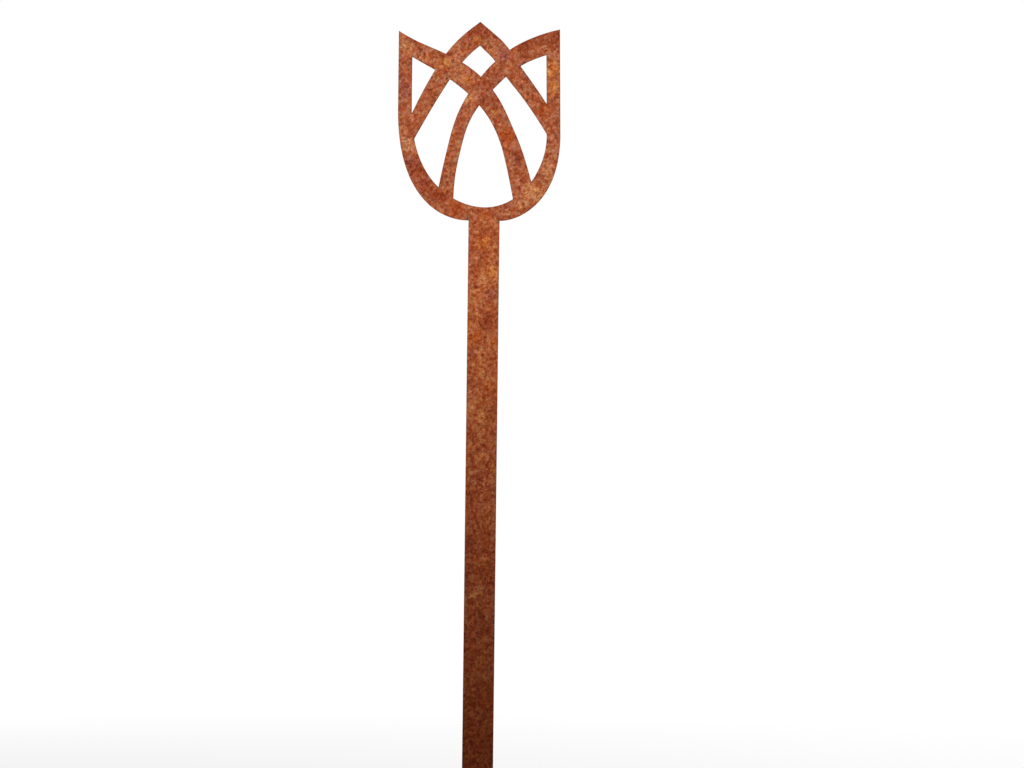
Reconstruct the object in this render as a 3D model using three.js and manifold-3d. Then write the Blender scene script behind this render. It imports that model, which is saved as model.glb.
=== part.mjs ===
// A garden tulip on a stake: an openwork tulip head cut from weathering steel plate, butt welded
// to a flat bar stem whose lower end is cut to a point and pushed into the soil.
//
// Millimetres, +Z up, +X to the right of someone who looks at the front, front faces at -Y.
// The origin is on the stem's middle line, at the soil.

import * as THREE from "three";
import { NURBSCurve } from "three/addons/curves/NURBSCurve.js";
import { mergeVertices } from "three/addons/utils/BufferGeometryUtils.js";
import Module from "manifold-3d";

const wasm = await Module();
wasm.setup();

// Steel stock: the plate of the head and the flat bar of the stem are equally thick
const PLATE_THICKNESS = 3;

// Stem: up from the soil to its square end at the weld, and down from the soil to its point
const STEM_WIDTH = 20;
const STEM_ABOVE_SOIL = 371;
const STEM_IN_SOIL = 200;
const POINT_LENGTH = 45;
const POINT_TIP_WIDTH = 3;

// Weld: one run from each side fills the gap between the stem's end and the seat on the head.
// The front run is dressed flush, the back run keeps its crown.
const WELD_ROOT_GAP = 1.8;
const BACK_CROWN_WIDTH = 7;
const BACK_CROWN_HEIGHT = 1.5;

// Head: its middle line stands to the left of the stem's. The seat is a flat under the cup,
// a little wider than the stem on both sides.
const HEAD_WIDTH = 105;
const HEAD_HEIGHT = 128.2;
const HEAD_OFFSET = 3.9;
const SEAT_MARGIN = 1;
const RIM_SIDE_WIDTH = 8.8;
const RIM_BASE_WIDTH = 8.5;
const APEX_BAND_HEIGHT = 15.2;

// The drawing of the head gives places as shares: across, of half the head's width and to the
// right of its middle line, and up, of its height above the seat.
const RIGHT_SIDE_TOP_ACROSS = 0.978;
const RIM_INSIDE_LOWEST_ACROSS = 0.08;

// How far the cup's sides run straight, and how full its outer and inner lines are below that:
// the share of the way down, and of the way in, for which each line holds its direction
const CUP_LEFT = {
  shoulder: 0.56,
  outer: { side: 0.82, base: 0.35 },
  inner: { side: 0.78, base: 0.365 },
};
const CUP_RIGHT = {
  shoulder: 0.43,
  outer: { side: 0.815, base: 0.255 },
  inner: { side: 0.49, base: 0.57 },
};

// The bands inside the cup, as guide points that draw their middle lines along: across, up, and the
// band's width in millimetres. The centre petal's two sides run from beside its apex down to the rim.
const CENTRE_PETAL_RIGHT = [
  [0.149, 0.887, 12.1],
  [0.26, 0.85, 11.9],
  [0.393, 0.749, 11.7],
  [0.668, 0.626, 10.3],
  [0.942, 0.441, 10.1],
];
const CENTRE_PETAL_LEFT = [
  [-0.075, 0.917, 12],
  [-0.281, 0.848, 11.7],
  [-0.458, 0.735, 11.3],
  [-0.664, 0.592, 10.4],
  [-0.874, 0.417, 8.2],
];

// Each side petal's inner edge comes in over the rim at its tip, crosses the middle line and runs
// down into the base of the cup on the other side.
const LEFT_PETAL_EDGE = [
  [-1.11, 0.939, 8.5],
  [-0.873, 0.868, 9.8],
  [-0.489, 0.804, 12.5],
  [-0.108, 0.708, 14.3],
  [0.166, 0.584, 12.5],
  [0.328, 0.449, 9.8],
  [0.455, 0.314, 13],
  [0.581, 0.08, 14.4],
];
const RIGHT_PETAL_EDGE = [
  [1.123, 0.924, 14.2],
  [0.536, 0.877, 12.8],
  [0.11, 0.715, 12],
  [-0.204, 0.538, 8.5],
  [-0.307, 0.361, 8.6],
  [-0.394, 0.2, 8.5],
  [-0.424, 0.058, 12.3],
];

// Smoothness of the curves
const CURVE_ORDER = 3;
const CUP_STEPS = 24;
const BAND_STEPS = 32;
const CROWN_STEPS = 8;

const rust = new THREE.MeshStandardMaterial({ color: 0xa65c3b, roughness: 0.9, metalness: 0.1 });
const weldRust = new THREE.MeshStandardMaterial({ color: 0x8a4a30, roughness: 0.85, metalness: 0.2 });

// A closed geometry as a solid for joining and cutting, and back again
function solidOf(geometry) {
  const bare = geometry.clone();
  bare.deleteAttribute("normal");
  bare.deleteAttribute("uv");
  const merged = mergeVertices(bare);
  return new wasm.Manifold(
    new wasm.Mesh({
      numProp: 3,
      vertProperties: merged.attributes.position.array,
      triVerts: new Uint32Array(merged.index.array),
    }),
  );
}

function geometryOf(solid) {
  const { vertProperties, triVerts } = solid.getMesh();
  return new THREE.BufferGeometry()
    .setAttribute("position", new THREE.BufferAttribute(vertProperties, 3))
    .setIndex(new THREE.BufferAttribute(triVerts, 1));
}

// An outline in X and Z, cut out of plate between two depths along Y
function cutPlate(outline, front = -PLATE_THICKNESS / 2, back = PLATE_THICKNESS / 2) {
  const options = { depth: back - front, bevelEnabled: false };
  return new THREE.ExtrudeGeometry(new THREE.Shape(outline), options)
    .rotateX(Math.PI / 2)
    .translate(0, back, 0);
}

const point = (x, z) => new THREE.Vector2(x, z);
const onHead = ([across, up]) => point((across * HEAD_WIDTH) / 2, up * HEAD_HEIGHT);

// One side's line of the cup, from its shoulder down and in to where the base is level
function cupLine(shoulderX, shoulderUp, base, fullness) {
  const shoulder = shoulderUp * HEAD_HEIGHT;
  return new THREE.CubicBezierCurve(
    point(shoulderX, shoulder),
    point(shoulderX, THREE.MathUtils.lerp(shoulder, base.y, fullness.side)),
    point(THREE.MathUtils.lerp(base.x, shoulderX, fullness.base), base.y),
    base,
  ).getPoints(CUP_STEPS);
}

// The two edges of a band, on either side of the smooth middle line that its guide points draw
function bandEdges(guides) {
  const spans = guides.length - CURVE_ORDER;
  const knots = [];
  for (let i = -CURVE_ORDER; i <= spans + CURVE_ORDER; i++) {
    knots.push(THREE.MathUtils.clamp(i, 0, spans));
  }
  const line = new NURBSCurve(
    CURVE_ORDER,
    knots,
    guides.map((guide) => new THREE.Vector4(onHead(guide).x, guide[2], onHead(guide).y, 1)),
  );
  const left = [];
  const right = [];
  for (let i = 0; i <= BAND_STEPS; i++) {
    const { x, y: width, z } = line.getPoint(i / BAND_STEPS);
    const along = line.getTangent(i / BAND_STEPS);
    const toLeft = point(-along.z, along.x).setLength(width / 2);
    left.push(point(x, z).add(toLeft));
    right.push(point(x, z).sub(toLeft));
  }
  return { left, right };
}

function bandOutline(guides) {
  const { left, right } = bandEdges(guides);
  return [...right, ...left.reverse()];
}

// The centre petal's pointed arch: its sides meet at the apex, on the head's middle line
function archOutline() {
  const rightSide = bandEdges(CENTRE_PETAL_RIGHT);
  const leftSide = bandEdges(CENTRE_PETAL_LEFT);
  return [
    point(0, HEAD_HEIGHT),
    ...leftSide.right,
    ...leftSide.left.reverse(),
    point(0, HEAD_HEIGHT - APEX_BAND_HEIGHT),
    ...rightSide.right,
    ...rightSide.left.reverse(),
  ];
}

// The tulip head: rim, centre petal and the side petals' inner edges, all in one plate
function tulipHead() {
  const half = HEAD_WIDTH / 2;
  const inner = half - RIM_SIDE_WIDTH;
  const seatHalf = STEM_WIDTH / 2 + SEAT_MARGIN;
  const insideBase = point(RIM_INSIDE_LOWEST_ACROSS * half, RIM_BASE_WIDTH);
  const outerLeft = cupLine(-half, CUP_LEFT.shoulder, point(HEAD_OFFSET - seatHalf, 0), CUP_LEFT.outer);
  const outerRight = cupLine(half, CUP_RIGHT.shoulder, point(HEAD_OFFSET + seatHalf, 0), CUP_RIGHT.outer);
  const innerLeft = cupLine(-inner, CUP_LEFT.shoulder, insideBase, CUP_LEFT.inner);
  const innerRight = cupLine(inner, CUP_RIGHT.shoulder, insideBase, CUP_RIGHT.inner);

  // Above its shoulder the left side stands upright and the right side leans in a little
  const rightLean = (half * (1 - RIGHT_SIDE_TOP_ACROSS)) / (HEAD_HEIGHT - CUP_RIGHT.shoulder * HEAD_HEIGHT);
  const rightSideAt = (z) => half - (z - CUP_RIGHT.shoulder * HEAD_HEIGHT) * rightLean;

  // The sides end inside the side petals' edges, which make the tips
  const topOver = (guides, x) => {
    const [start, next] = guides.map(onHead);
    return THREE.MathUtils.mapLinear(x, start.x, next.x, start.y, next.y);
  };
  const leftTop = topOver(LEFT_PETAL_EDGE, RIM_SIDE_WIDTH / 2 - half);
  const rightTop = topOver(RIGHT_PETAL_EDGE, half - RIM_SIDE_WIDTH / 2);
  const rim = [
    point(-half, leftTop),
    ...outerLeft,
    ...outerRight.slice().reverse(),
    point(rightSideAt(rightTop), rightTop),
    point(rightSideAt(rightTop) - RIM_SIDE_WIDTH, rightTop),
    ...innerRight,
    ...innerLeft.slice(0, -1).reverse(),
    point(-inner, leftTop),
  ];
  const overTips = HEAD_HEIGHT + RIM_SIDE_WIDTH;
  const insideCup = [
    point(-half, overTips),
    ...outerLeft,
    ...outerRight.slice().reverse(),
    point(rightSideAt(overTips), overTips),
  ];
  return solidOf(cutPlate(archOutline()))
    .add(solidOf(cutPlate(bandOutline(LEFT_PETAL_EDGE))))
    .add(solidOf(cutPlate(bandOutline(RIGHT_PETAL_EDGE))))
    .intersect(solidOf(cutPlate(insideCup)))
    .add(solidOf(cutPlate(rim)));
}

// The stem: flat bar with a square upper end and a blunt point
function stemOutline() {
  const half = STEM_WIDTH / 2;
  const halfTip = POINT_TIP_WIDTH / 2;
  const pointStart = POINT_LENGTH - STEM_IN_SOIL;
  return [
    point(-half, STEM_ABOVE_SOIL),
    point(-half, pointStart),
    point(-halfTip, -STEM_IN_SOIL),
    point(halfTip, -STEM_IN_SOIL),
    point(half, pointStart),
    point(half, STEM_ABOVE_SOIL),
  ];
}

// The weld metal in the gap, from the stem's end up to the head's seat
function rootOutline() {
  const half = STEM_WIDTH / 2;
  const top = STEM_ABOVE_SOIL + WELD_ROOT_GAP;
  return [point(-half, STEM_ABOVE_SOIL), point(half, STEM_ABOVE_SOIL), point(half, top), point(-half, top)];
}

// The back run: weld metal in the back half of the gap, under a round-topped crown that laps
// over the back faces of the stem and the head
function backWeld() {
  const halfCrown = BACK_CROWN_WIDTH / 2;
  const section = new THREE.Shape();
  section.moveTo(-halfCrown, 0);
  section.quadraticCurveTo(-halfCrown / 2, BACK_CROWN_HEIGHT, 0, BACK_CROWN_HEIGHT);
  section.quadraticCurveTo(halfCrown / 2, BACK_CROWN_HEIGHT, halfCrown, 0);
  const options = { depth: STEM_WIDTH, bevelEnabled: false, curveSegments: CROWN_STEPS };
  const crown = new THREE.ExtrudeGeometry(section, options)
    .translate(0, 0, -STEM_WIDTH / 2)
    .rotateY(Math.PI / 2)
    .translate(0, PLATE_THICKNESS / 2, STEM_ABOVE_SOIL + WELD_ROOT_GAP / 2);
  return solidOf(cutPlate(rootOutline(), 0)).add(solidOf(crown));
}

const tulip = new THREE.Group();
tulip.name = "garden_tulip";

const stem = new THREE.Mesh(cutPlate(stemOutline()), rust);
stem.name = "stem";

const frontRun = new THREE.Mesh(cutPlate(rootOutline(), -PLATE_THICKNESS / 2, 0), weldRust);
frontRun.name = "front_weld";

const backRun = new THREE.Mesh(geometryOf(backWeld()), weldRust);
backRun.name = "back_weld";

const head = new THREE.Mesh(geometryOf(tulipHead()), rust);
head.name = "tulip_head";
head.position.set(-HEAD_OFFSET, 0, STEM_ABOVE_SOIL + WELD_ROOT_GAP);

tulip.add(stem, frontRun, backRun, head);

export default tulip;
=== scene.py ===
import math
import bpy
import numpy as np
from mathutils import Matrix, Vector, geometry, noise


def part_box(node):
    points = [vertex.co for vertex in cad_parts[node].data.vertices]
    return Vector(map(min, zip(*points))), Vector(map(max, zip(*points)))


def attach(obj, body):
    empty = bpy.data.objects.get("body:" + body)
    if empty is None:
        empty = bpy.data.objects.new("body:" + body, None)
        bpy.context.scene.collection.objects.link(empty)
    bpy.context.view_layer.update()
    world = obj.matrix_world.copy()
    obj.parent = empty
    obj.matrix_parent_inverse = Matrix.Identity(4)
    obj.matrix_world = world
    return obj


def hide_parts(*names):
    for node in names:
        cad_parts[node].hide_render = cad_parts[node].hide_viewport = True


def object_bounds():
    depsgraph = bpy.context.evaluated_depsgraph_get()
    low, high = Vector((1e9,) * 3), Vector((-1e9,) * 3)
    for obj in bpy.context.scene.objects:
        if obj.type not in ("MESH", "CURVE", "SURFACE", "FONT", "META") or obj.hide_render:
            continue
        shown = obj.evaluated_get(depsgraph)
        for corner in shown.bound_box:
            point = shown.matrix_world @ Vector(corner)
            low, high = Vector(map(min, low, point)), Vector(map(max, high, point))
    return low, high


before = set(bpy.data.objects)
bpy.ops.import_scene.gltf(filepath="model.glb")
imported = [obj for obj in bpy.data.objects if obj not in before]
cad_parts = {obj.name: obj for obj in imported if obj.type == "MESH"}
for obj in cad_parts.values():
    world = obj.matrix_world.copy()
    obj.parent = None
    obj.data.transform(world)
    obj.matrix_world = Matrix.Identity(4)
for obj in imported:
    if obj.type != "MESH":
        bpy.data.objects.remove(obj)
cad_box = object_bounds()
bpy.context.scene.view_settings.view_transform = "Standard"
MM = 0.001

# Stem: a length of 20 x 3 mm weathering-steel flat bar, cut square at the top for the weld and to a
# blunt point at the foot, so that it can be pushed in. It has rusted all over, and towards the foot
# it darkens to dark brown, partly as damp rust and partly as painted shade.
STEM_GRID = 1.15 * MM
STEM_SEED = 11
stem_low, stem_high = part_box("stem")
JOINT_LOW = stem_high.z
JOINT_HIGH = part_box("tulip_head")[0].z
JOINT_HALF = stem_high.x + 0.05 * MM

# Where rain has run and dried, the rust has taken other tints: each multiplies the red, green and
# blue under it by these shares.
TINTS = {
    "ochre": (1.24, 1.40, 0.88, 1),
    "tan": (1.25, 1.60, 1.56, 1),
    "umber": (0.75, 0.54, 0.49, 1),
    "ember": (0.96, 0.69, 0.40, 1),
    "mauve": (0.80, 0.76, 1.08, 1),
}

# The tinted spots on the stem's front: each is so many millimetres across from the stem's middle
# line, up from the frame's origin, and in size, with its strength.
STEM_SPOTS = {
    "ochre": [(0, 358, 5, 0.75), (7, 340, 4.5, 0.7), (7, 294, 4, 0.4), (1, 256, 4, 0.6),
              (8, 213, 4.5, 0.6), (1, 152, 5, 0.5), (1, 91, 4.5, 0.5)],
    "tan": [(-2, 336, 4, 0.65), (-6, 320, 5, 0.6), (-6, 311, 4, 0.5), (-1, 274, 4.5, 0.4),
            (-8, 251, 4.5, 0.9), (0, 246, 5, 0.7), (6, 246, 4, 0.5), (0, 220, 4.5, 0.5),
            (-3, 132, 5, 0.5)],
    "umber": [(-5, 342, 4, 0.4), (3, 307, 6, 0.9), (7, 283, 4.5, 0.6), (7, 235, 4.5, 0.5),
              (-7, 235, 5, 0.45), (3, 146, 5, 0.4)],
    "ember": [(-5, 297, 4.5, 0.85), (4, 265, 4.5, 0.5), (-6, 185, 5, 0.5), (3, 167, 5, 0.5),
              (2, 63, 6, 0.5)],
    "mauve": [(5, 325, 4.5, 0.7), (-7, 287, 4, 0.5), (-1, 207, 5, 0.6), (-7, 164, 5, 0.5),
              (1, 115, 5, 0.5)],
}

# How the cuts are followed: a face counts as front by its normal, two points are one if they agree
# to so many digits of a metre, a sharper turn is a corner, and a line that is so many times as long
# as the next one is straight. A level cut gets a rise too small to matter, so that it can be
# divided by.
FRONT_NORMAL = -0.9
POINT_DIGITS = 7
CORNER_TURN = math.radians(8.5)
STRAIGHT_RATIO = 2.5
LINE_STEP = 0.8 * MM
ON_LINE = 0.001 * MM
LEVEL_RISE = 1e-12
POINTS_AT_ONCE = 400


def cut_lines(node):
    """A plate node's outlines: loops of points across and up, with the steel on their left."""
    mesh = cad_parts[node].data
    ways = set()
    for face in mesh.polygons:
        if face.normal.y < FRONT_NORMAL:
            corners = [mesh.vertices[v].co.xz for v in face.vertices]
            points = [tuple(round(c, POINT_DIGITS) for c in corner) for corner in corners]
            ways.update(zip(points, points[1:] + points[:1]))
    after = {a: b for a, b in sorted(ways) if (b, a) not in ways}
    loops = []
    while after:
        start = min(after)
        loop = [start]
        while after[loop[-1]] != start:
            loop.append(after[loop[-1]])
        for point in loop:
            del after[point]
        loops.append(np.array(loop))
    return loops


def even_line(loop):
    """The outline again with points about a step apart, and how far it turns at each corner."""
    ahead = np.roll(loop, -1, 0) - loop
    length = np.hypot(*ahead.T)
    way = ahead / length[:, None]
    before = np.roll(way, 1, 0)
    turn = np.arctan2(before[:, 0] * way[:, 1] - before[:, 1] * way[:, 0], (before * way).sum(1))
    corner = np.abs(turn) > CORNER_TURN

    # between corners the line is a smooth curve, which runs on along any straight beside it
    last = np.roll(length, 1)
    slope = before * length[:, None] + way * last[:, None]
    leaves_straight = last > STRAIGHT_RATIO * length
    meets_straight = length > STRAIGHT_RATIO * last
    slope[leaves_straight] = before[leaves_straight]
    slope[meets_straight] = way[meets_straight]
    slope /= np.hypot(*slope.T)[:, None]
    points, turns = [], []
    for i in range(len(loop)):
        j = (i + 1) % len(loop)
        out = way[i] if corner[i] else slope[i]
        into = way[i] if corner[j] else slope[j]
        count = max(1, round(length[i] / LINE_STEP))
        for k in range(count):
            t = k / count
            points.append(
                (2 * t**3 - 3 * t**2 + 1) * loop[i]
                + (t**3 - 2 * t**2 + t) * length[i] * out
                + (3 * t**2 - 2 * t**3) * loop[j]
                + (t**3 - t**2) * length[i] * into
            )
            turns.append(turn[i] if corner[i] and k == 0 else 0.0)
    return np.array(points), np.array(turns)


def batches(points):
    """The points' numbers in short runs, to keep the sums over all the cuts small."""
    return np.array_split(np.arange(len(points)), max(1, len(points) // POINTS_AT_ONCE))


class Cuts:
    """The cuts that shape one plate: closed rings of short lines, with the steel on their left."""

    def __init__(self, node):
        rings, turns = zip(*[even_line(loop) for loop in cut_lines(node)])
        self.starts = np.concatenate(rings)
        self.ends = np.concatenate([np.roll(ring, -1, 0) for ring in rings])
        self.turns = np.concatenate(turns)
        ring_ends = np.cumsum([len(ring) for ring in rings])
        self.rings = np.split(np.arange(len(self.starts)), ring_ends[:-1])
        way = self.ends - self.starts
        way /= np.hypot(*way.T)[:, None]
        self.inward = np.stack([-way[:, 1], way[:, 0]], 1)
        self.open = ~self.welded()

    def welded(self):
        """Which cuts lie against the weld, so that they keep a sharp, plain edge."""
        middle = (self.starts + self.ends) / 2
        found = np.zeros(len(middle), bool)
        for line in (JOINT_LOW, JOINT_HIGH):
            near = [np.abs(points[:, 1] - line) < ON_LINE for points in (self.starts, self.ends)]
            found |= near[0] & near[1] & (np.abs(middle[:, 0]) < JOINT_HALF)
        return found

    def reach(self, points, chosen=slice(None)):
        """How far each point is from the nearest of the cuts, or of the chosen ones."""
        starts = self.starts[chosen]
        along = self.ends[chosen] - starts
        size = (along**2).sum(1)
        far = np.zeros(len(points))
        for part in batches(points):
            off = points[part, None] - starts[None]
            t = np.clip((off * along).sum(2) / size, 0, 1)
            gap = off - t[..., None] * along
            far[part] = np.sqrt((gap**2).sum(2).min(1))
        return far

    def within(self, points):
        """Which points have steel under them: those with an odd number of cuts to their right."""
        run, rise = (self.ends - self.starts).T
        rise = np.where(rise == 0, LEVEL_RISE, rise)
        odd = np.zeros(len(points), bool)
        for part in batches(points):
            x, z = points[part, 0, None], points[part, 1, None]
            passed = (self.starts[:, 1] > z) != (self.ends[:, 1] > z)
            cross = self.starts[:, 0] + (z - self.starts[:, 1]) / rise * run
            odd[part] = (passed & (x < cross)).sum(1) % 2 == 1
        return odd


# Rows of points along the cuts soften the arris, with more of them fanned round the corners that
# the steel surrounds. At sharp corners the least lean keeps a row from running far in, and a point
# is left out where another cut lies nearer than the row's own. The rest of the face has an even,
# slightly shaken spread of points that keeps clear of the arris. Points nearer than MERGE are one,
# and a triangle whose middle is as near to a cut as SLIVER is no more than a line.
EDGE_ROUND = 0.4 * MM
ROUND_ROWS = [math.radians(a) for a in (28, 58, 90)]
LEAST_LEAN = 0.4
FAN_POINTS = 5
ROW_SHARE = 0.96
TRIANGLE_HEIGHT = math.sqrt(0.75)
SHAKE = 0.16
GRID_MARGIN = 0.4
MERGE = 1e-7
SLIVER = 0.001 * MM


def arris_points(cuts):
    """Rows of points that follow the cuts at the depths where the arris bends."""
    before = np.concatenate([np.roll(cuts.inward[ring], 1, 0) for ring in cuts.rings])
    lean = before + cuts.inward
    lean /= np.hypot(*lean.T)[:, None]
    tilt = np.maximum(LEAST_LEAN, (lean * cuts.inward).sum(1))
    rows = []
    for angle in ROUND_ROWS:
        inset = EDGE_ROUND * (1 - math.cos(angle))
        row = [cuts.starts + lean * (inset / tilt)[:, None]]
        for i in np.flatnonzero(cuts.turns < -CORNER_TURN):
            first = math.atan2(before[i, 1], before[i, 0])
            fan = first + cuts.turns[i] * np.linspace(0, 1, FAN_POINTS)
            row.append(cuts.starts[i] + inset * np.stack([np.cos(fan), np.sin(fan)], 1))
        row = np.concatenate(row)
        rows.append(row[cuts.within(row) & (cuts.reach(row) > ROW_SHARE * inset)])
    return np.concatenate(rows)


def face_points(cuts, grid, dice):
    """Points spread over the face inside the arris, in rows of even triangles."""
    low, high = cuts.starts.min(0), cuts.starts.max(0)
    across = np.arange(low[0], high[0] + grid, grid)
    up = np.arange(low[1], high[1] + grid, grid * TRIANGLE_HEIGHT)
    x, z = np.meshgrid(across, up)
    x[1::2] += grid / 2
    points = np.stack([x.ravel(), z.ravel()], 1)
    points += dice.uniform(-SHAKE, SHAKE, points.shape) * grid
    points = points[cuts.within(points)]
    return points[cuts.reach(points) > EDGE_ROUND + GRID_MARGIN * grid]


def face_triangles(cuts, points):
    """The face's points, its triangles over the steel, and each old point's new number."""
    following = np.concatenate([np.roll(ring, -1) for ring in cuts.rings])
    lines = [(a, int(b)) for a, b in enumerate(following)]
    found, _, faces, came, _, _ = geometry.delaunay_2d_cdt(
        [Vector(p) for p in points], lines, [], 0, MERGE
    )
    place = np.array([tuple(p) for p in found])
    new_of = {old: new for new, olds in enumerate(came) for old in olds}
    faces = np.array(faces)
    heart = place[faces].mean(1)
    faces = faces[cuts.within(heart) & (cuts.reach(heart) > SLIVER)]
    a, b, c = (place[faces[:, k]] for k in range(3))
    left = (b[:, 0] - a[:, 0]) * (c[:, 1] - a[:, 1]) - (b[:, 1] - a[:, 1]) * (c[:, 0] - a[:, 0])
    faces[left < 0] = faces[left < 0][:, ::-1]
    return place, faces, new_of


# The rust scale on the faces: broad swells, grit and shallow pits. Layers of noise are given as how
# fast they weaken, how much finer each one is, and how many there are. The two faces of a plate are
# read further apart than they lie, so that they don't repeat each other.
SWELL_SIZE = 9.0 * MM
SWELL_HEIGHT = 0.035 * MM
SWELL_LAYERS = (1.0, 2.0, 2)
GRIT_SIZE = 2.6 * MM
GRIT_HEIGHT = 0.045 * MM
GRIT_LAYERS = (0.9, 2.0, 3)
PIT_SIZE = 3.4 * MM
PIT_DEPTH = 0.22 * MM
PIT_START = 0.25
PIT_SHIFT = Vector((40, 7, 13))
FACES_APART = 6


def scale_relief(x, y, z):
    """How far the rust scale stands up from the rolled face, with shallow pits eaten into it."""
    place = Vector((x, y * FACES_APART, z))
    swell = noise.fractal(place / SWELL_SIZE, *SWELL_LAYERS)
    grit = noise.fractal(place / GRIT_SIZE, *GRIT_LAYERS)
    pit = max(0.0, noise.noise(place / PIT_SIZE + PIT_SHIFT) - PIT_START)
    return SWELL_HEIGHT * swell + GRIT_HEIGHT * grit - PIT_DEPTH * pit


# What else the rust shows: worn cut edges, dark spots at the two corners where the stem meets the
# head, the scorch round the weld on the back, and tinted spots of the back's own, one of each tint
# to so much of the face.
WEAR_REACH = 1.1 * MM
CORNER_SPOT_SIZE = 1.9 * MM
SCORCH_SIZE = 6.5 * MM
SCORCH_SHARE = 0.7
BACK_SPOT_AREA = 520 * MM * MM
BACK_SPOT_SIZES = (4, 8)
BACK_SPOT_STRENGTHS = (0.5, 1)


def tinted(points, spots):
    """How deep each point lies in the nearest of some soft-edged spots."""
    deep = np.zeros(len(points))
    for across, up, size, strength in spots:
        off = ((points - (across * MM, up * MM)) ** 2).sum(1)
        deep = np.maximum(deep, strength * np.exp(-off / (size * MM) ** 2))
    return deep


def weathered(place, depth, spots, dice):
    """The share of each look at the points of the front, and then at those of the back."""
    wear = np.clip(1 - depth / WEAR_REACH, 0, 1)
    across, up = place.T
    # dark spots at the two corners where the stem's sides meet the head
    to_ends = [np.hypot(across - end, up - JOINT_HIGH) for end in (stem_low.x, stem_high.x)]
    darkened = np.exp(-((np.minimum(*to_ends) / CORNER_SPOT_SIZE) ** 2))
    beside = np.maximum(0, np.abs(across) - stem_high.x)
    to_weld = np.hypot(up - JOINT_LOW, beside)
    scorched = np.maximum(darkened, SCORCH_SHARE * np.exp(-((to_weld / SCORCH_SIZE) ** 2)))
    looks = {"cut_edge": [*wear, *wear], "darkened": [*darkened, *scorched]}
    wide, high = np.ptp(place, 0)
    count = round(wide * high / BACK_SPOT_AREA)
    for tint in TINTS:
        behind = []
        for spot in dice.uniform(place.min(0), place.max(0), (count, 2)) / MM:
            size = dice.uniform(*BACK_SPOT_SIZES)
            strength = dice.uniform(*BACK_SPOT_STRENGTHS)
            behind.append((*spot, size, strength))
        looks[tint] = [*tinted(place, spots.get(tint, [])), *tinted(place, behind)]
    return looks


# The cut walls, with the ripple that the cutting flame draws through the thickness and the hollows
# that rust has eaten since.
WALL_ROWS = 4
FLAME_SIZE = 0.9 * MM
FLAME_DRAW = 0.25
FLAME_DEPTH = 0.05 * MM
EATEN_SIZE = 2.2 * MM
EATEN_DEPTH = 0.06 * MM


def cut_walls(cuts, new_of, count, verts, looks):
    """The walls' faces, from front to back. Their points are added to verts, and to the looks."""
    quads = []
    for ring in cuts.rings:
        front = [new_of[int(i)] for i in ring]
        rows = [front]
        for k in range(1, WALL_ROWS):
            share = k / WALL_ROWS
            row = []
            for i, f in zip(ring, front):
                x, z = cuts.starts[i]
                y = (1 - share) * verts[f][1] + share * verts[f + count][1]
                flame = noise.noise(Vector((x, y * FLAME_DRAW, z)) / FLAME_SIZE)
                eaten = noise.noise(Vector((x, y, z)) / EATEN_SIZE)
                push = (FLAME_DEPTH * flame + EATEN_DEPTH * eaten) * cuts.open[i]
                x, z = cuts.starts[i] + cuts.inward[i] * push
                row.append(len(verts))
                verts.append((x, y, z))
                for values in looks.values():
                    values.append((1 - share) * values[f] + share * values[f + count])
            rows.append(row)
        rows.append([f + count for f in front])
        for near, far in zip(rows, rows[1:]):
            for i in range(len(ring)):
                j = (i + 1) % len(ring)
                quads.append((near[i], far[i], far[j], near[j]))
    return quads


def steel_piece(name, verts, faces, looks):
    """A smooth-shaded object that carries its looks as values on its points."""
    mesh = bpy.data.meshes.new(name)
    mesh.from_pydata(verts, [], faces)
    mesh.polygons.foreach_set("use_smooth", [True] * len(mesh.polygons))
    for look, values in looks.items():
        mesh.attributes.new(look, "FLOAT", "POINT").data.foreach_set("value", values)
    piece = bpy.data.objects.new(name, mesh)
    bpy.context.scene.collection.objects.link(piece)
    return piece


def cut_plate(name, node, grid, spots, seed):
    """A rusted plate on a node's outlines: grainy faces, softened arrises and rough cut walls."""
    dice = np.random.default_rng(seed)
    cuts = Cuts(node)
    points = np.concatenate([cuts.starts, arris_points(cuts), face_points(cuts, grid, dice)])
    place, faces, new_of = face_triangles(cuts, points)
    depth = cuts.reach(place, cuts.open)
    looks = weathered(place, depth, spots, dice)
    short = np.maximum(0, EDGE_ROUND - depth)
    sunk = EDGE_ROUND - np.sqrt(EDGE_ROUND**2 - short**2)
    low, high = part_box(node)
    verts = []
    for inward, level in ((1, low.y), (-1, high.y)):
        for (x, z), drop in zip(place, sunk):
            verts.append((x, level + inward * (drop - scale_relief(x, level, z)), z))
    count = len(place)
    front = [tuple(int(v) for v in face) for face in faces]
    back = [tuple(v + count for v in face[::-1]) for face in front]
    walls = cut_walls(cuts, new_of, count, verts, looks)
    return steel_piece(name, verts, front + back + walls, looks)


def tone(red, green, blue):
    """A colour written as it shows on a screen, from 0 to 255, by the sRGB formula."""
    shares = [c / 255 for c in (red, green, blue)]
    linear = [s / 12.92 if s < 0.04045 else ((s + 0.055) / 1.055) ** 2.4 for s in shares]
    return (*linear, 1.0)


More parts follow.
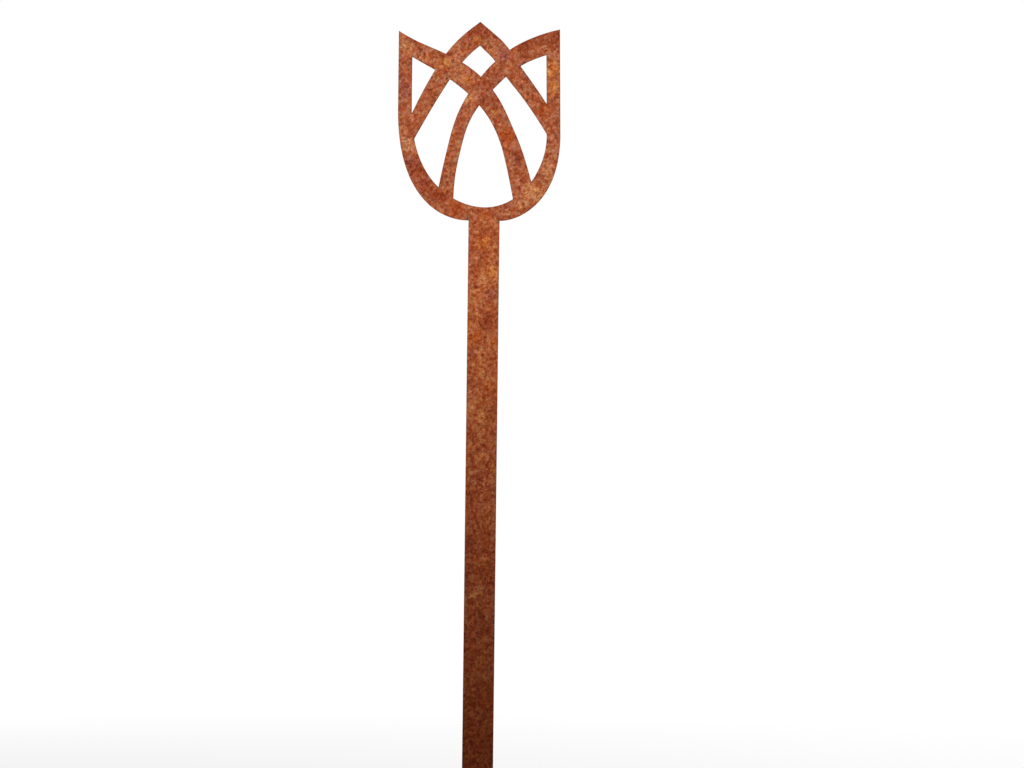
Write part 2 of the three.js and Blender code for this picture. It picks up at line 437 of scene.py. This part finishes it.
class Finish:
    """One procedural material, put together node by node."""

    # a Mix node has sockets of several kinds under the same names: these are those for colours
    MIX_SHARE = 0
    MIX_UNDER = 6
    MIX_OVER = 7
    MIXED = 2

    def __init__(self, name):
        self.material = bpy.data.materials.new(name)
        self.material.use_nodes = True
        self.tree = self.material.node_tree
        self.shader = self.tree.nodes["Principled BSDF"]
        self.place = self.node("TexCoord").outputs["Object"]

    def node(self, kind, fed=(), **settings):
        made = self.tree.nodes.new("ShaderNode" + kind)
        for key, value in settings.items():
            setattr(made, key, value)
        for socket, value in dict(fed).items():
            if isinstance(value, bpy.types.NodeSocket):
                self.tree.links.new(value, made.inputs[socket])
            else:
                made.inputs[socket].default_value = value
        return made

    def look(self, name):
        return self.node("Attribute", attribute_name=name).outputs["Fac"]

    def cloud(self, place, size, detail, rough):
        fed = {"Vector": place, "Scale": 1 / size, "Detail": detail, "Roughness": rough}
        return self.node("TexNoise", fed).outputs

    def channels(self, colour):
        return self.node("SeparateColor", {"Color": colour}).outputs

    def math(self, operation, a, b=0.0, c=0.0):
        return self.node("Math", {0: a, 1: b, 2: c}, operation=operation).outputs[0]

    def vector(self, operation, a, b):
        return self.node("VectorMath", {0: a, 1: b}, operation=operation).outputs[0]

    def fade(self, value, start, end, low=0.0, high=1.0):
        fed = {"Value": value, "From Min": start, "From Max": end, "To Min": low, "To Max": high}
        return self.node("MapRange", fed).outputs["Result"]

    def blend(self, share, under, over, kind="MIX"):
        fed = {self.MIX_SHARE: share, self.MIX_UNDER: under, self.MIX_OVER: over}
        return self.node("Mix", fed, data_type="RGBA", blend_type=kind).outputs[self.MIXED]

    def ramp(self, value, stops):
        made = self.node("ValToRGB", {"Fac": value})
        band = made.color_ramp
        while len(band.elements) < len(stops):
            band.elements.new(0.5)
        for element, (at, colour) in zip(band.elements, stops):
            element.position = at
            element.color = colour
        return made.outputs["Color"]


# The rust's grain, turned off the plate's axes so that no rows show in it. Crust, flecks and specks
# pick the tone, and a finer noise stirs the flecks and holes out of their round shapes.
NOISE_MIDDLE = 0.5
GRAIN_STRETCH = (1, 3, 1)
GRAIN_TURN = (0.55, 0.35, 0.62)
CRUST = {"size": 2.4 * MM, "detail": 6.0, "rough": 0.74}
SPECK = {"size": 0.75 * MM, "detail": 3.0, "rough": 0.7}
PATCH = {"size": 6 * MM, "detail": 3.0, "rough": 0.6}
DRIFT = {"size": 18 * MM, "detail": 2.0, "rough": 0.5}
HUE = {"size": 3.2 * MM, "detail": 2.5, "rough": 0.55}
STIR = {"size": 0.9 * MM, "detail": 4.0, "rough": 0.5}
STIR_REACH = 1.6 * MM
FLECK_SIZE = 1.5 * MM
FLECK_SMOOTH = 0.45
TONE_SHARES = (1.12, 0.3, 0.5)

# Colour leans towards red or yellow from grain to grain, and stains run over whole patches.
RED_LEAN = [
    (0.28, (0.88, 1.06, 1.12, 1)),
    (0.5, (0.985, 0.955, 0.93, 1)),
    (0.72, (1.10, 0.84, 0.75, 1)),
]
YELLOW_LEAN = [
    (0.28, (0.965, 1.0, 1.38, 1)),
    (0.5, (1, 1, 1, 1)),
    (0.72, (1.045, 0.985, 0.69, 1)),
]
STAIN = [
    (0.3, (0.82, 0.67, 0.67, 1)),
    (0.5, (0.99, 0.99, 0.99, 1)),
    (0.7, (1.18, 1.40, 1.40, 1)),
]
PATCH_SHARE = 0.5
SPOT_FRAY = 0.7
SPOT_EDGE = (0.12, 0.75)

# The darkest rust is in the holes, along the cut edges, at the two corners where the stem meets the
# head, and where the weld burnt the steel on the back.
DARK_RUST = tone(86, 35, 17)
HOLE_SPACING = 2.2 * MM
HOLE_EDGE = (0.10, 0.24)
HOLE_CHOICE = (0.45, 0.6)
HOLE_SHARE = 0.7
EDGE_FALL = 2.0
EDGE_SPECKS = (0.35, 0.65)
EDGE_SHARES = (0.45, 0.15)
DARKENED_SHARE = 0.6

# The darkening towards the foot, partly damp rust and partly painted shade, frays into the dry rust
# over this height, up to this far above the frame's origin.
DAMP_AND_SHADE_FRAY = 40 * MM
DAMP_AND_SHADE_TOP = 370 * MM

# The powdery crust hardly shines, and its finest grain is a bump.
CRUST_RANGE = (0.3, 0.7)
CRUST_ROUGHNESS = (0.97, 0.78)
SHINE = 0.06
SPECK_RISE = 0.4
HOLE_SINK = 0.5
GRAIN_HEIGHT = 0.35 * MM
GRAIN_STRENGTH = 0.8


def rust(name, tones, hue_share, damp_and_shade=None):
    """Weathered rust: a crust of many tones, tinted where water dried and dark on cut edges."""
    f = Finish(name)
    fed = {"Vector": f.place, "Scale": GRAIN_STRETCH, "Rotation": GRAIN_TURN}
    place = f.node("Mapping", fed).outputs["Vector"]
    crust = f.channels(f.cloud(place, **CRUST)["Color"])
    speck = f.cloud(place, **SPECK)["Fac"]
    patch = f.cloud(place, **PATCH)["Fac"]
    drift = f.cloud(place, **DRIFT)["Fac"]
    hue = f.channels(f.cloud(place, **HUE)["Color"])
    stir = f.vector("SUBTRACT", f.cloud(place, **STIR)["Color"], (NOISE_MIDDLE,) * 3)
    stirred = f.vector("ADD", place, f.vector("MULTIPLY", stir, (STIR_REACH,) * 3))

    # the tone of each grain, its lean in hue, and the stains
    fed = {"Vector": stirred, "Scale": 1 / FLECK_SIZE, "Smoothness": FLECK_SMOOTH}
    fleck = f.channels(f.node("TexVoronoi", fed, feature="SMOOTH_F1").outputs["Color"])
    pick = NOISE_MIDDLE - NOISE_MIDDLE * sum(TONE_SHARES)
    for value, share in zip((crust["Red"], fleck["Red"], speck), TONE_SHARES):
        pick = f.math("MULTIPLY_ADD", value, share, pick)
    colour = f.ramp(pick, tones)
    for value, lean in ((hue["Red"], RED_LEAN), (hue["Green"], YELLOW_LEAN)):
        colour = f.blend(hue_share, colour, f.ramp(value, lean), "MULTIPLY")
    stain = f.math("MULTIPLY_ADD", patch, PATCH_SHARE, f.math("MULTIPLY", drift, 1 - PATCH_SHARE))
    colour = f.blend(1.0, colour, f.ramp(stain, STAIN), "MULTIPLY")
    for tint, wash in TINTS.items():
        deep = f.math("SUBTRACT", f.look(tint), SPOT_FRAY * NOISE_MIDDLE)
        frayed = f.math("MULTIPLY_ADD", patch, SPOT_FRAY, deep)
        colour = f.blend(f.fade(frayed, *SPOT_EDGE), colour, wash, "MULTIPLY")

    # holes, cut edges, the dark spots at the joint's corners and the weld's scorch
    holes = f.node("TexVoronoi", {"Vector": stirred, "Scale": 1 / HOLE_SPACING}).outputs
    chosen = f.fade(f.channels(holes["Color"])["Blue"], *HOLE_CHOICE, 0.0, HOLE_SHARE)
    hole = f.math("MULTIPLY", f.fade(holes["Distance"], *HOLE_EDGE, 1.0, 0.0), chosen)
    edge = f.math("POWER", f.look("cut_edge"), EDGE_FALL)
    edge = f.math("MULTIPLY", edge, f.fade(speck, *EDGE_SPECKS, *EDGE_SHARES))
    darkened = f.math("MULTIPLY", f.look("darkened"), DARKENED_SHARE)
    dark = f.math("MAXIMUM", f.math("MAXIMUM", edge, hole), darkened)
    colour = f.blend(dark, colour, DARK_RUST)
    # darker towards the foot: partly damp rust, partly painted shade
    if damp_and_shade:
        height = f.node("SeparateXYZ", {"Vector": f.place}).outputs["Z"]
        height = f.math("SUBTRACT", height, DAMP_AND_SHADE_FRAY * NOISE_MIDDLE)
        frayed = f.math("MULTIPLY_ADD", patch, DAMP_AND_SHADE_FRAY, height)
        colour = f.blend(1.0, colour, f.ramp(f.fade(frayed, 0.0, DAMP_AND_SHADE_TOP), damp_and_shade), "MULTIPLY")

    rise = f.math("SUBTRACT", crust["Red"], f.math("MULTIPLY", hole, HOLE_SINK))
    rise = f.math("MULTIPLY_ADD", speck, SPECK_RISE, rise)
    fed = {"Height": rise, "Distance": GRAIN_HEIGHT, "Strength": GRAIN_STRENGTH}
    rough = f.fade(crust["Blue"], *CRUST_RANGE, *CRUST_ROUGHNESS)
    f.tree.links.new(colour, f.shader.inputs["Base Color"])
    f.tree.links.new(rough, f.shader.inputs["Roughness"])
    f.tree.links.new(f.node("Bump", fed).outputs["Normal"], f.shader.inputs["Normal"])
    f.shader.inputs["Specular IOR Level"].default_value = SHINE
    return f.material


BAR_HUES = 0.7
BAR_TONES = [
    (0.13, tone(110, 39, 15)),
    (0.35, tone(151, 65, 31)),
    (0.50, tone(175, 93, 54)),
    (0.67, tone(196, 118, 76)),
    (0.87, tone(221, 154, 114)),
]
# Shares that darken the stem from its foot up: partly damp rust, partly painted shade.
DAMP_AND_SHADE = [
    (0.0, (0.19, 0.14, 0.09, 1)),
    (0.11, (0.229, 0.173, 0.119, 1)),
    (0.32, (0.345, 0.295, 0.262, 1)),
    (0.53, (0.56, 0.536, 0.51, 1)),
    (0.74, (0.79, 0.81, 0.775, 1)),
    (1.0, (1.0, 1.0, 1.0, 1)),
]
stem = cut_plate("rusted_stem", "stem", STEM_GRID, STEM_SPOTS, STEM_SEED)
stem.data.materials.append(rust("rusted_bar", BAR_TONES, BAR_HUES, DAMP_AND_SHADE))
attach(stem, "root")
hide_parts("stem")

# Tulip head: one piece of 3 mm weathering-steel plate with six windows cut through it, so that the
# rim and the crossing petals are bands of the same plate. It is welded upright on the stem's end.
HEAD_GRID = 0.95 * MM
HEAD_SEED = 12
HEAD_SPOTS = {
    "ochre": [(44, 459, 4.5, 1), (-26, 474, 4.5, 0.7), (-12, 464, 4, 0.7), (-5, 489, 3.5, 0.7),
              (43, 470, 5.5, 1), (6, 443, 4, 0.4)],
    "tan": [(31, 390, 7.5, 1), (24, 385, 5, 0.7), (41, 406, 5, 0.8), (-9, 451, 4, 0.8),
            (-50, 422, 5, 0.7), (20, 402, 4, 0.5), (-52, 484, 6, 0.55)],
    "umber": [(-44, 404, 7, 1), (-38, 395, 6.5, 1), (-31, 388, 6, 0.9), (5, 451, 4, 0.4),
              (25, 486, 5, 0.9), (35, 490, 5, 0.8), (44, 491, 5.5, 0.9), (22, 413, 5, 0.7),
              (-53, 443, 4.5, 0.4), (-4, 494, 8, 1)],
    "ember": [(14, 428, 6, 0.9), (38, 445, 5, 0.7), (-27, 388, 5, 0.6), (-18, 380, 6, 0.9),
              (0, 376, 6, 0.6)],
    "mauve": [(-52, 457, 6, 0.85), (11, 480, 4.5, 0.9), (8, 466, 4, 0.45), (28, 465, 4.5, 0.6),
              (46, 428, 4.5, 0.4), (13, 385, 5, 0.5), (-49, 410, 4.5, 0.7)],
}
PLATE_HUES = 1.0
PLATE_TONES = [
    (0.10, tone(108, 41, 17)),
    (0.34, tone(148, 67, 35)),
    (0.50, tone(171, 95, 61)),
    (0.68, tone(194, 122, 87)),
    (0.90, tone(221, 159, 126)),
]
head = cut_plate("rusted_tulip_head", "tulip_head", HEAD_GRID, HEAD_SPOTS, HEAD_SEED)
head.data.materials.append(rust("rusted_plate", PLATE_TONES, PLATE_HUES))
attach(head, "root")
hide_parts("tulip_head")

# Front weld: the run that joins the head to the stem on the side that is looked at. It has been
# ground flush with both plates and has rusted over since, so that no line shows.
WELD_GRID = 0.45 * MM
WELD_SEED = 13
WELD_HUES = 0.8
weld_rust = rust("rusted_weld", BAR_TONES, WELD_HUES)
front_weld = cut_plate("dressed_front_weld", "front_weld", WELD_GRID, {}, WELD_SEED)
front_weld.data.materials.append(weld_rust)
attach(front_weld, "root")
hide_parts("front_weld")

# Back weld: the second run of the same joint, left as it was laid. Its root fills the gap between
# head and stem, and its round crown stands up in the ripples that each move of the torch leaves.
# They bend back towards the toes, which wander a little and sink into the plates.
BEAD_STEPS = 180
CROWN_STEPS = 24
CROWN_ROUND = 1.2
CROWN_ROOM = 0.05 * MM
RIPPLE_PITCH = 1.9 * MM
RIPPLE_HEIGHT = 0.34 * MM
RIPPLE_BEND = 1.5 * MM
RIPPLE_BLUNT = 0.6
GROOVE_SHARE = 0.85
END_LENGTH = 3.6 * MM
END_WIDTH = 0.45
TOE_SINK = 0.12 * MM
TOE_ROOM = 0.35 * MM
WANDER = 0.25 * MM
WANDER_LENGTH = 5 * MM
WANDER_ROW = 3
TOE_WAVE = 0.25 * MM
TOE_WAVE_LENGTH = 1.4 * MM
TOE_WAVE_ROW = 9
PITTING_SIZE = 0.8 * MM
PITTING_DEPTH = 0.04 * MM
bead_low, bead_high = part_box("back_weld")
bead_middle = (bead_low.z + bead_high.z) / 2
bead_half = (bead_high.z - bead_low.z) / 2 - TOE_ROOM
crown = bead_high.y - stem_high.y - RIPPLE_HEIGHT - CROWN_ROOM
toe = stem_high.y - TOE_SINK


def bead_section(x):
    """The weld cut across at x: points through the plate and up, and how burnt each one is."""
    to_end = min(1.0, min(x - bead_low.x, bead_high.x - x) / END_LENGTH)
    full = math.sqrt(1 - (1 - to_end) ** 2)
    middle = bead_middle + WANDER * noise.noise(Vector((x / WANDER_LENGTH, WANDER_ROW, 0)))
    wave = TOE_WAVE * noise.noise(Vector((x / TOE_WAVE_LENGTH, TOE_WAVE_ROW, 0)))
    half = bead_half * (END_WIDTH + (1 - END_WIDTH) * full) + wave
    points = [(0.0, JOINT_HIGH), (0.0, JOINT_LOW), (toe, JOINT_LOW)]
    darkened = [1.0] * len(points)
    for k in range(CROWN_STEPS + 1):
        across = -math.cos(math.pi * k / CROWN_STEPS)
        arch = math.sqrt(max(0.0, 1 - across**2))
        lap = math.sin(math.pi * (((x + RIPPLE_BEND * across**2) / RIPPLE_PITCH) % 1.0))
        ripple = RIPPLE_HEIGHT * lap**RIPPLE_BLUNT * arch
        pitting = PITTING_DEPTH * noise.noise(Vector((x, across * half, 0)) / PITTING_SIZE)
        rise = full * (crown * arch**CROWN_ROUND + ripple + pitting)
        points.append((toe + TOE_SINK * arch + rise, middle + across * half))
        darkened.append(1 - GROOVE_SHARE * lap * arch)
    return [*points, (toe, JOINT_HIGH)], [*darkened, 1.0]


verts, quads, scorch = [], [], []
for x in np.linspace(bead_low.x, bead_high.x, BEAD_STEPS + 1):
    points, darkened = bead_section(x)
    verts.extend((x, y, z) for y, z in points)
    scorch.extend(darkened)
around = len(points)
for i in range(BEAD_STEPS):
    for k in range(around):
        a = i * around + k
        b = i * around + (k + 1) % around
        quads.append((a, b, b + around, a + around))
near_end = tuple(range(around))[::-1]
far_end = tuple(BEAD_STEPS * around + k for k in range(around))
looks = dict.fromkeys(("cut_edge", "darkened", *TINTS), [0.0] * len(verts))
looks["darkened"] = scorch
back_weld = steel_piece("rippled_back_weld", verts, [*quads, near_end, far_end], looks)
back_weld.data.materials.append(weld_rust)
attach(back_weld, "root")
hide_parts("back_weld")

# Floor: a plain pale studio floor just under the stem's point. It keeps the object's shadow, and
# further out it fades into the white of the room.
FLOOR_RADIUS = 8.0
FLOOR_SIDES = 96
FLOOR_GAP = 0.3 * MM
FLOOR_COLOUR = (0.80, 0.80, 0.80, 1)
FLOOR_ROUGHNESS = 0.9
FLOOR_SHINE = 0.1
FLOOR_FADE = (0.6, 2.2)


def room_rays(tree):
    """A socket that is 1 for rays that show the room, straight or mirrored, and 0 for its light."""
    rays = tree.nodes.new("ShaderNodeLightPath").outputs
    shown = rays["Is Camera Ray"]
    for kind in ("Is Glossy Ray", "Is Transmission Ray"):
        either = tree.nodes.new("ShaderNodeMath")
        either.operation = "MAXIMUM"
        tree.links.new(shown, either.inputs[0])
        tree.links.new(rays[kind], either.inputs[1])
        shown = either.outputs[0]
    return shown


floor_level = cad_box[0].z - FLOOR_GAP
angles = np.linspace(0, 2 * math.pi, FLOOR_SIDES, endpoint=False)
ring = [(FLOOR_RADIUS * math.cos(a), FLOOR_RADIUS * math.sin(a), floor_level) for a in angles]
mesh = bpy.data.meshes.new("floor")
mesh.from_pydata(ring, [], [tuple(range(FLOOR_SIDES))])
floor = bpy.data.objects.new("floor", mesh)
bpy.context.scene.collection.objects.link(floor)
pale = Finish("pale_floor")
pale.shader.inputs["Base Color"].default_value = FLOOR_COLOUR
pale.shader.inputs["Roughness"].default_value = FLOOR_ROUGHNESS
pale.shader.inputs["Specular IOR Level"].default_value = FLOOR_SHINE
away = pale.node("VectorMath", {0: pale.place}, operation="LENGTH").outputs["Value"]
faded = pale.math("MULTIPLY", pale.fade(away, *FLOOR_FADE), room_rays(pale.tree))
white = pale.node("Emission", {"Strength": 1.0})
mixed = pale.node("MixShader", {0: faded, 1: pale.shader.outputs[0], 2: white.outputs[0]})
pale.tree.links.new(mixed.outputs[0], pale.tree.nodes["Material Output"].inputs["Surface"])
floor.data.materials.append(pale.material)

# Light: an even white room with three broad soft lamps, the brightest above on the left, a faint
# one on the right and one behind, so that the back isn't left dark.
ROOM_LIGHT = 0.41
LAMP_SIZE = 1.8
LAMP_AIM = Vector((0, 0, 0.2))
LAMPS = [
    ("soft_key", Vector((-1.5, -2.0, 2.0)), 51),
    ("soft_fill", Vector((2.2, -1.6, 0.9)), 15),
    ("soft_back", Vector((1.2, 2.4, 1.8)), 40),
]
world = bpy.data.worlds.new("room")
bpy.context.scene.world = world
world.use_nodes = True
nodes, links = world.node_tree.nodes, world.node_tree.links
lit = nodes["Background"]
shown = nodes.new("ShaderNodeBackground")
for background, strength in ((lit, ROOM_LIGHT), (shown, 1.0)):
    background.inputs["Color"].default_value = (1, 1, 1, 1)
    background.inputs["Strength"].default_value = strength
both = nodes.new("ShaderNodeMixShader")
links.new(room_rays(world.node_tree), both.inputs[0])
links.new(lit.outputs[0], both.inputs[1])
links.new(shown.outputs[0], both.inputs[2])
links.new(both.outputs[0], nodes["World Output"].inputs["Surface"])
for name, place, watts in LAMPS:
    lamp = bpy.data.lights.new(name, "AREA")
    lamp.size = LAMP_SIZE
    lamp.energy = watts
    hung = bpy.data.objects.new(name, lamp)
    hung.location = place
    hung.rotation_euler = (LAMP_AIM - place).to_track_quat("-Z", "Y").to_euler()
    bpy.context.scene.collection.objects.link(hung)

# Camera: straight in front of the plate, level with the middle of the picture, at the photograph's
# scale and with its small turn.
SENSOR = 36.0
LENS = 100.0
PICTURE_PIXELS = 1024
PIXELS_TO_A_MM = 1.55
PICTURE_WIDTH = PICTURE_PIXELS / PIXELS_TO_A_MM * MM
PICTURE_TURN = math.radians(-0.69)
CAMERA_ACROSS = 19.30 * MM
CAMERA_UP = 267.5 * MM
view = bpy.data.cameras.new("camera")
view.lens = LENS
view.sensor_width = SENSOR
camera = bpy.data.objects.new("camera", view)
camera.location = (CAMERA_ACROSS, stem_low.y - PICTURE_WIDTH * LENS / SENSOR, CAMERA_UP)
camera.rotation_euler = (math.pi / 2, PICTURE_TURN, 0)
bpy.context.scene.collection.objects.link(camera)
bpy.context.scene.camera = camera
